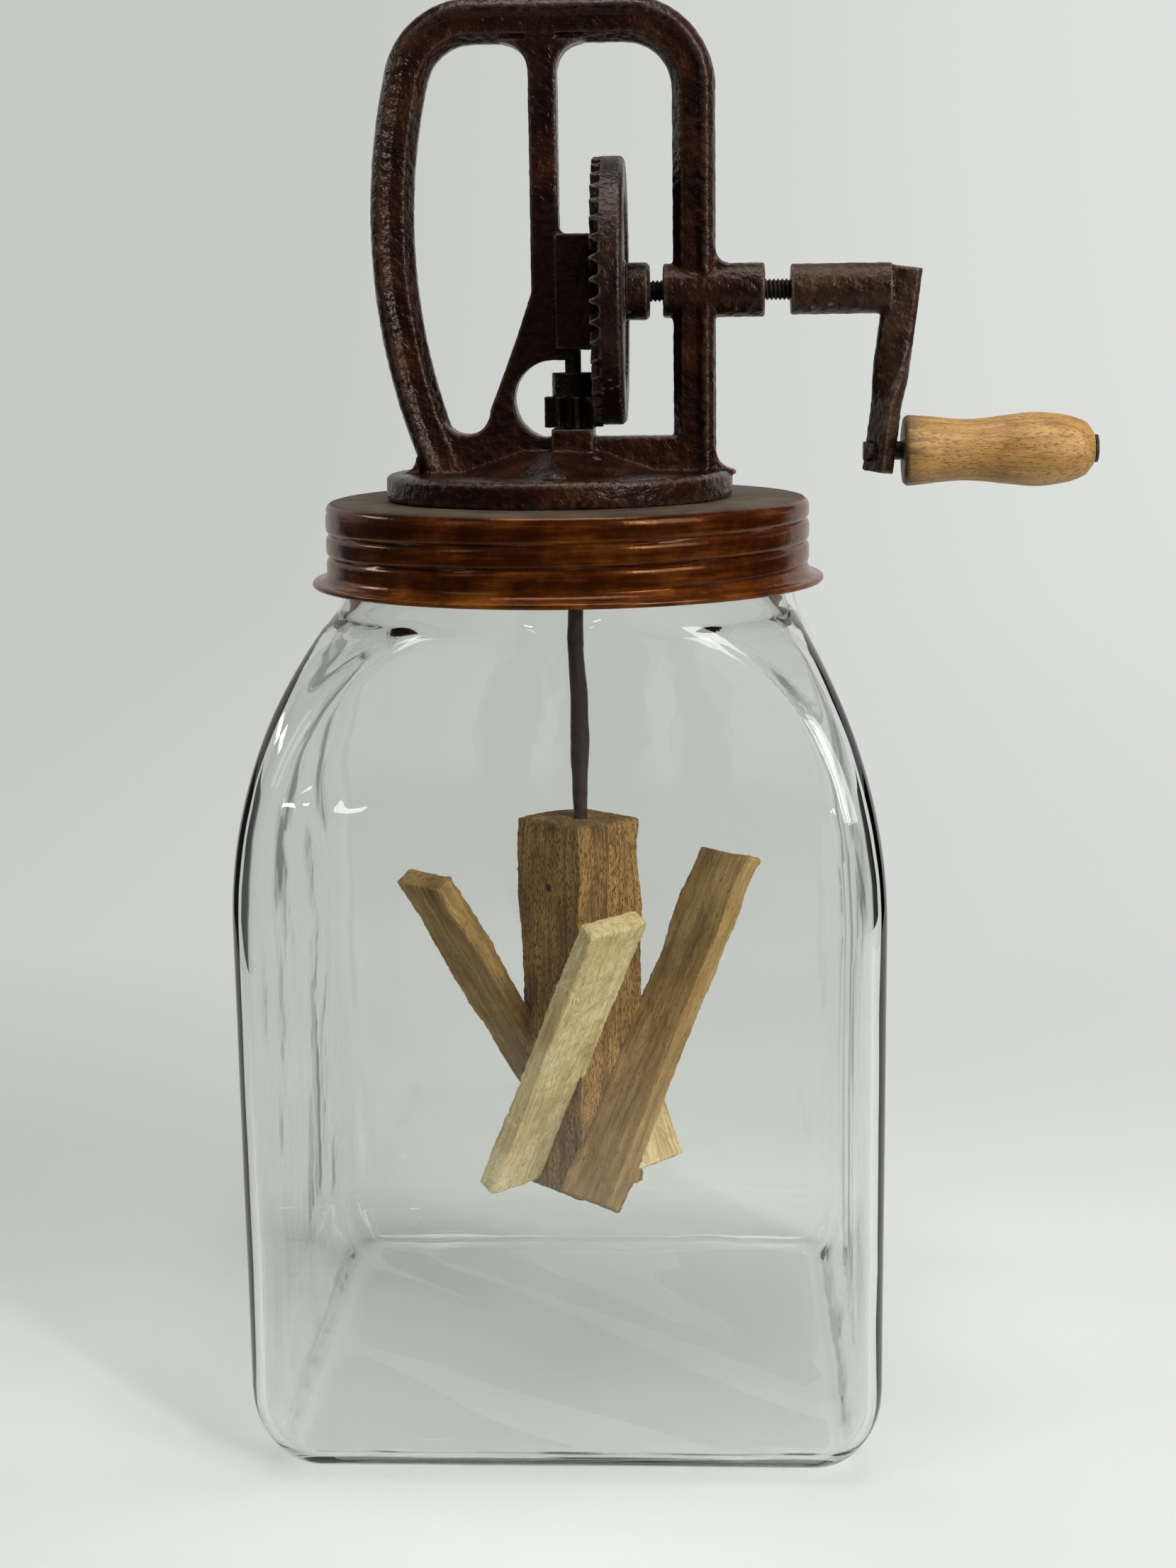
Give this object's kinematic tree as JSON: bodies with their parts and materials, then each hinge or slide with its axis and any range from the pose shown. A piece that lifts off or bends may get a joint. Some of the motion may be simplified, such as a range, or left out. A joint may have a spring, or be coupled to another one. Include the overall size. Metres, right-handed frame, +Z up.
{
  "type": "glass butter churn",
  "caption": "Square glass butter churn with a screw lid, a cast gear frame, a side crank with a wooden grip, and a wooden paddle dasher on an upright rod.",
  "frame": {"origin": "middle of the jar's foot, on the table", "axes": "+Z up along the jar, +X towards the crank, -Y towards the viewer"},
  "size_m": [0.2536, 0.185, 0.4261],
  "materials": {
    "clear_glass": "clear moulded glass with a faint grey-green tint",
    "rusted_sheet": "oiled orange-brown rust on rolled sheet steel",
    "seal_rubber": "soft matt rubber",
    "cast_frame": "oiled dark red-brown cast iron",
    "gear_iron": "dark oiled cast iron",
    "crank_iron": "worn brown iron",
    "dark_steel": "dark rusty steel",
    "grip_wood": "turned oiled hardwood",
    "brown_wood": "rough-sawn brown wood",
    "pale_wood": "rough-sawn pale wood"
  },
  "bodies": {
    "jar": {"glass_jar": "clear_glass"},
    "head": {"screw_lid": "rusted_sheet", "lid_liner": "seal_rubber", "gear_frame": "cast_frame", "frame_screws": "dark_steel", "frame_nuts": "dark_steel"},
    "crank": {"drive_shaft": "dark_steel", "crown_wheel": "gear_iron", "wheel_nut": "gear_iron", "crank_arm": "crank_iron", "grip_spindle": "dark_steel"},
    "grip": {"crank_grip": "grip_wood"},
    "dasher": {"dasher_rod": "dark_steel", "pinion": "gear_iron", "pinion_pin": "dark_steel", "dasher_block": "brown_wood", "block_pin": "dark_steel", "paddle_front_left": "pale_wood", "paddle_front_right": "brown_wood", "paddle_back_right": "pale_wood", "paddle_back_left": "brown_wood"}
  },
  "joints": [
    {"name": "lid_lift", "type": "slide", "parent": "jar", "child": "head", "axis": [0, 0, 1], "range_m": [0, 0.25]},
    {"name": "crank_turn", "type": "hinge", "parent": "head", "child": "crank", "pos_m": [0, 0, 0.341], "axis": [1, 0, 0], "continuous": true},
    {"name": "grip_spin", "type": "hinge", "parent": "crank", "child": "grip", "pos_m": [0.13, 0, 0.2926], "axis": [1, 0, 0], "continuous": true},
    {"name": "dasher_turn", "type": "hinge", "parent": "head", "child": "dasher", "pos_m": [0.0024, 0, 0.3], "axis": [0, 0, 1], "continuous": true}
  ],
  "couplings": [
    {"joint": "dasher_turn", "follows": "crank_turn", "ratio": 4.4444}
  ]
}
